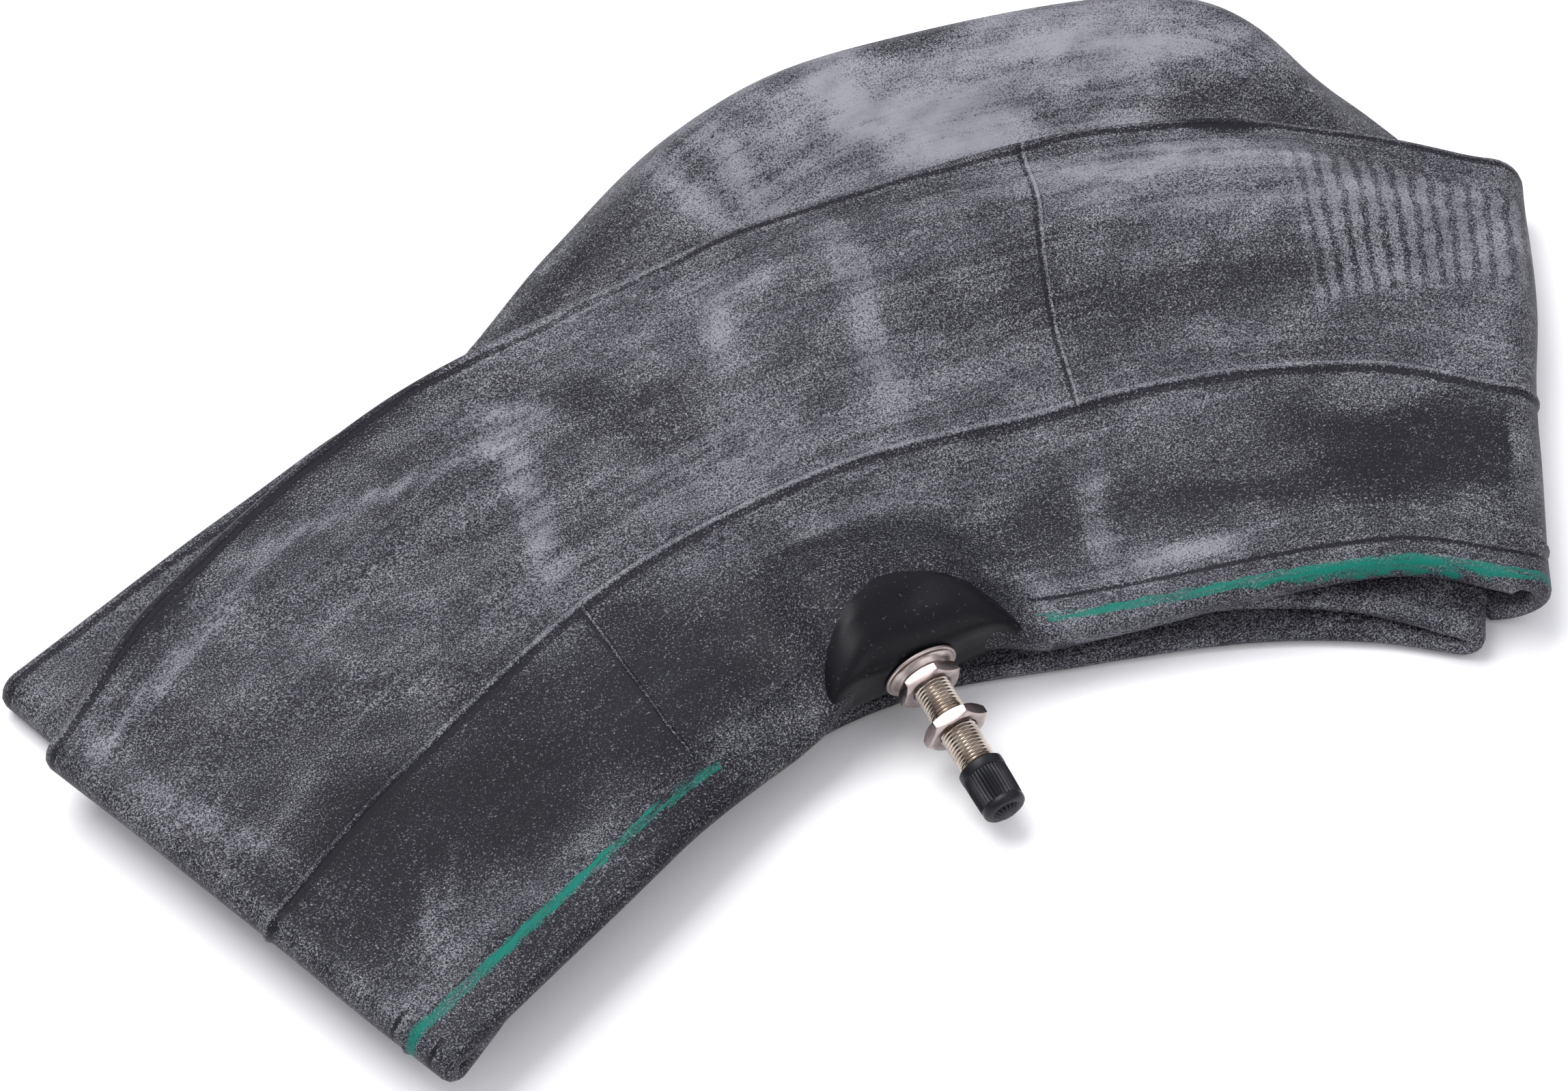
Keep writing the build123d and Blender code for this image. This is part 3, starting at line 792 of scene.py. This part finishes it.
# ---------------------------------------------------------------- rim washer
# A washer pressed from thin brass sheet and nickel plated, with a raised middle for the nut
# and a rolled rim. It slides on the thread, and the base nut holds it to the pad.
washer = turned("domed_rim_washer", 72, [
    (7.35, 0.05), (7.7, 0.1), (7.9, 0.35), (7.88, 0.62), (7.7, 0.82), (7.45, 0.86), (7.2, 0.72),
    (6.9, 0.66), (6.55, 0.74), (6.2, 1.0), (5.85, 1.5), (5.6, 2.0), (5.35, 2.28), (5.1, 2.4),
    (4.0, 2.4), (4.0, 1.7), (4.9, 1.7), (5.3, 1.2), (5.8, 0.5), (6.3, 0.1), (7.35, 0.05),
])
place_on_valve(washer, 40)

# Satin nickel: a paler, softer plating than the stem's, with soft smudges.
satin_nickel, tree, shader = new_material("satin_nickel_pressed_washer")
solid = solid_mm(tree)
smudge = blots(tree, solid, 5, 3, 0.3, 0.75, detail=4)
colour = add_node(tree, "Mix", {
    "Factor": smudge, 6: linear("#c6bbb6"), 7: linear("#a59892"),
}, data_type="RGBA", output=2)
tree.links.new(colour, shader.inputs["Base Color"])
shader.inputs["Metallic"].default_value = 1.0
tree.links.new(add_node(tree, "MapRange", smudge, 0.0, 1.0, 0.27, 0.4), shader.inputs["Roughness"])
washer.data.materials.append(satin_nickel)
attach(washer, "washer")
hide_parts("rim_washer")

# ---------------------------------------------------------------- hexagon nuts
# Two thin brass nuts, 12 mm across flats, with both faces chamfered. The base nut clamps the
# washer to the pad, and the rim nut is spun down on the thread to hold a wheel's rim.
NUT_ACROSS_FLATS = 12.0
NUT_BORE = 3.87


def make_nut(name, start, thickness, turn):
    """A hexagon cut from a chamfered disc, with a countersunk bore."""
    corner = NUT_ACROSS_FLATS / 2 / math.cos(math.radians(30))
    face = NUT_ACROSS_FLATS / 2 - 0.25
    chamfer = (corner - face) * math.tan(math.radians(30))
    nut = turned(name, 96, [
        (NUT_BORE, 0.35), (NUT_BORE + 0.4, 0), (face, 0), (corner + 0.02, chamfer),
        (corner + 0.02, thickness - chamfer), (face, thickness), (NUT_BORE + 0.4, thickness),
        (NUT_BORE, thickness - 0.35), (NUT_BORE, 0.35),
    ])
    bpy.ops.object.mode_set(mode="EDIT")
    for side in range(6):
        flat = math.radians(60 * side)
        towards = (math.cos(flat), math.sin(flat), 0)
        bpy.ops.mesh.select_all(action="SELECT")
        bpy.ops.mesh.bisect(
            plane_co=[v * NUT_ACROSS_FLATS / 2 * MM for v in towards], plane_no=towards,
            use_fill=True, clear_outer=True)
    bpy.ops.mesh.select_all(action="SELECT")
    bpy.ops.mesh.remove_doubles(threshold=0.002 * MM)
    bpy.ops.object.mode_set(mode="OBJECT")
    turned_nut = Matrix.Rotation(math.radians(turn + 30), 4, "Z")
    nut.data.transform(Matrix.Translation((0, 0, start * MM)) @ turned_nut)
    finish_piece(nut, ("BEVEL", {
        "width": 0.07 * MM, "segments": 2, "limit_method": "ANGLE", "angle_limit": math.radians(28),
        "harden_normals": False,
    }))
    return place_on_valve(nut, 28)


base_nut = make_nut("base_hex_nut", 2.42, 2.78, 26)
rim_nut = make_nut("rim_hex_nut", 13.1, 2.9, 19.5)

# Bright nickel on milled brass: almost a mirror, slightly pink beside the warmer thread.
bright_nickel, tree, shader = new_material("bright_nickel_milled_nut")
solid = solid_mm(tree)
smudge = blots(tree, solid, 3, 3, 0.3, 0.75, detail=4)
colour = add_node(tree, "Mix", {
    "Factor": smudge, 6: linear("#b9aaa8"), 7: linear("#9c8d8a"),
}, data_type="RGBA", output=2)
tree.links.new(colour, shader.inputs["Base Color"])
shader.inputs["Metallic"].default_value = 1.0
tree.links.new(add_node(tree, "MapRange", smudge, 0.0, 1.0, 0.2, 0.32), shader.inputs["Roughness"])
for nut, body, node_name in ((base_nut, "base_nut", "base_nut"), (rim_nut, "rim_nut", "rim_nut")):
    nut.data.materials.append(bright_nickel)
    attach(nut, body)
    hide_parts(node_name)

# ---------------------------------------------------------------- dust cap
# A moulded plastic cap: a plain collar at its mouth, fine grip ribs round its side, a step at
# its shoulder, and a small domed end with notches. It screws over the mouth of the stem.
CAP_START = 24.5
CAP_END = 36.4
RIB_COUNT = 36
SIDES = RIB_COUNT * 4
cap = turned("ribbed_dust_cap", SIDES, [
    (3.95, CAP_START), (4.5, CAP_START), (4.72, CAP_START + 0.22), (4.76, CAP_START + 0.5),
    (4.76, CAP_START + 1.75), (4.7, CAP_START + 1.95), (4.55, CAP_START + 2.05), (4.66, CAP_START + 2.3),
    (4.66, CAP_START + 4.5), (4.6, CAP_START + 7), (4.55, CAP_START + 8.9), (4.4, CAP_START + 9.05),
    (4.5, CAP_START + 9.3), (4.5, CAP_START + 9.9), (4.36, CAP_START + 10.4), (3.95, CAP_START + 10.8),
    (3.3, CAP_START + 11.0), (2.9, CAP_START + 10.95), (2.75, CAP_START + 11.2), (2.3, CAP_START + 11.55),
    (1.5, CAP_START + 11.8), (0.7, CAP_END), (0.002, CAP_END),
    (0.002, CAP_END - 1.45), (3.95, CAP_END - 1.45), (3.95, CAP_START),
])
# Grooves between the ribs, and notches in the domed end.
for vertex in cap.data.vertices:
    radius = math.hypot(vertex.co.x, vertex.co.y) / MM
    height = vertex.co.z / MM - CAP_START
    step = round(math.atan2(vertex.co.y, vertex.co.x) / (2 * math.pi) * SIDES)
    cut = 0.0
    if radius > 4.3 and 2.2 < height < 9.0:
        cut = (0.0, 0.1, 0.26, 0.1)[step % 4]
    elif 1.2 < radius < 2.95 and 10.9 < height:
        cut = (0.0, 0.05, 0.35, 0.05)[step % 4] if step // 4 % 2 else 0.0
    vertex.co.x *= 1 - cut / max(radius, 1)
    vertex.co.y *= 1 - cut / max(radius, 1)
place_on_valve(cap, 32)

# Moulded polypropylene: black with a slight blue cast, satin, handled and a little dusty.
cap_plastic, tree, shader = new_material("satin_black_polypropylene")
solid = solid_mm(tree)
lint = blots(tree, solid, 0.5, 0.5, 0.68, 0.78, detail=2)
sheen = blots(tree, solid, 3, 3, 0.3, 0.75, detail=3)
few = add_node(tree, "Math", lint, 0.3, operation="MULTIPLY")
colour = add_node(tree, "Mix", {
    "Factor": few, 6: linear("#0b0c14"), 7: linear("#55555b"),
}, data_type="RGBA", output=2)
tree.links.new(colour, shader.inputs["Base Color"])
tree.links.new(add_node(tree, "MapRange", sheen, 0.0, 1.0, 0.36, 0.5), shader.inputs["Roughness"])
shader.inputs["Specular IOR Level"].default_value = 0.3
cap.data.materials.append(cap_plastic)
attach(cap, "cap")
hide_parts("dust_cap")

# ---------------------------------------------------------------- cap seal and valve core
# Inside the cap lies a rubber disc, and down the stem's bore the core: a brass plug, a sealing
# ring, a barrel, and a sprung pin that carries a small cup with a rubber ring in it.
core_brass, tree, shader = new_material("plain_turned_brass")
solid = solid_mm(tree)
tool_marks = blots(tree, solid, 2, 0.4, 0.3, 0.7, detail=2)
colour = add_node(tree, "Mix", {
    "Factor": tool_marks, 6: linear("#c9a45c"), 7: linear("#b08a48"),
}, data_type="RGBA", output=2)
tree.links.new(colour, shader.inputs["Base Color"])
shader.inputs["Metallic"].default_value = 1.0
tree.links.new(add_node(tree, "MapRange", tool_marks, 0.0, 1.0, 0.24, 0.36), shader.inputs["Roughness"])

core_rubber, tree, shader = new_material("red_brown_seal_rubber")
solid = solid_mm(tree)
bloom = blots(tree, solid, 1.5, 1.5, 0.3, 0.75, detail=3)
colour = add_node(tree, "Mix", {
    "Factor": bloom, 6: linear("#3a2420"), 7: linear("#55332b"),
}, data_type="RGBA", output=2)
tree.links.new(colour, shader.inputs["Base Color"])
shader.inputs["Roughness"].default_value = 0.7

spring_wire, tree, shader = new_material("drawn_spring_steel")
solid = solid_mm(tree)
drawn = blots(tree, solid, 0.6, 0.2, 0.3, 0.7, detail=2)
colour = add_node(tree, "Mix", {
    "Factor": drawn, 6: linear("#b9bcc0"), 7: linear("#8f9296"),
}, data_type="RGBA", output=2)
tree.links.new(colour, shader.inputs["Base Color"])
shader.inputs["Metallic"].default_value = 1.0
shader.inputs["Roughness"].default_value = 0.3

finishes = {
    "core_plug": core_brass, "core_barrel": core_brass, "core_pin": core_brass, "core_cup": core_brass,
    "core_seal_ring": core_rubber, "core_cup_seal": core_rubber, "cap_seal": core_rubber,
}
for node_name, finish in finishes.items():
    frame["nodes"][node_name].data.materials.clear()
    frame["nodes"][node_name].data.materials.append(finish)

# The spring is coiled again here, so that its wire is round.
SPRING_START = 14.4
SPRING_END = 23.4
SPRING_TURNS = 9
wire_radius = 0.14
coil_radius = 0.88
bpy.ops.object.select_all(action="DESELECT")
bpy.ops.mesh.primitive_circle_add(vertices=10, radius=wire_radius * MM, location=(0, 0, 0))
spring = bpy.context.object
spring.name = "core_coil_spring"
bpy.ops.object.mode_set(mode="EDIT")
bpy.ops.transform.rotate(value=math.pi / 2, orient_axis="X", center_override=(0, 0, 0))
bpy.ops.transform.translate(value=(coil_radius * MM, 0, SPRING_START * MM))
bpy.ops.object.mode_set(mode="OBJECT")
finish_piece(spring, ("SCREW", {
    "angle": 2 * math.pi, "screw_offset": (SPRING_END - SPRING_START) / SPRING_TURNS * MM,
    "iterations": SPRING_TURNS, "steps": 24, "render_steps": 24,
}))
bpy.ops.object.mode_set(mode="EDIT")
bpy.ops.mesh.select_all(action="SELECT")
bpy.ops.mesh.fill_holes(sides=0)
bpy.ops.mesh.select_all(action="SELECT")
bpy.ops.mesh.normals_make_consistent(inside=False)
bpy.ops.object.mode_set(mode="OBJECT")
place_on_valve(spring, 60)
spring.data.materials.append(spring_wire)
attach(spring, "tube")
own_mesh(spring)
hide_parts("core_spring")
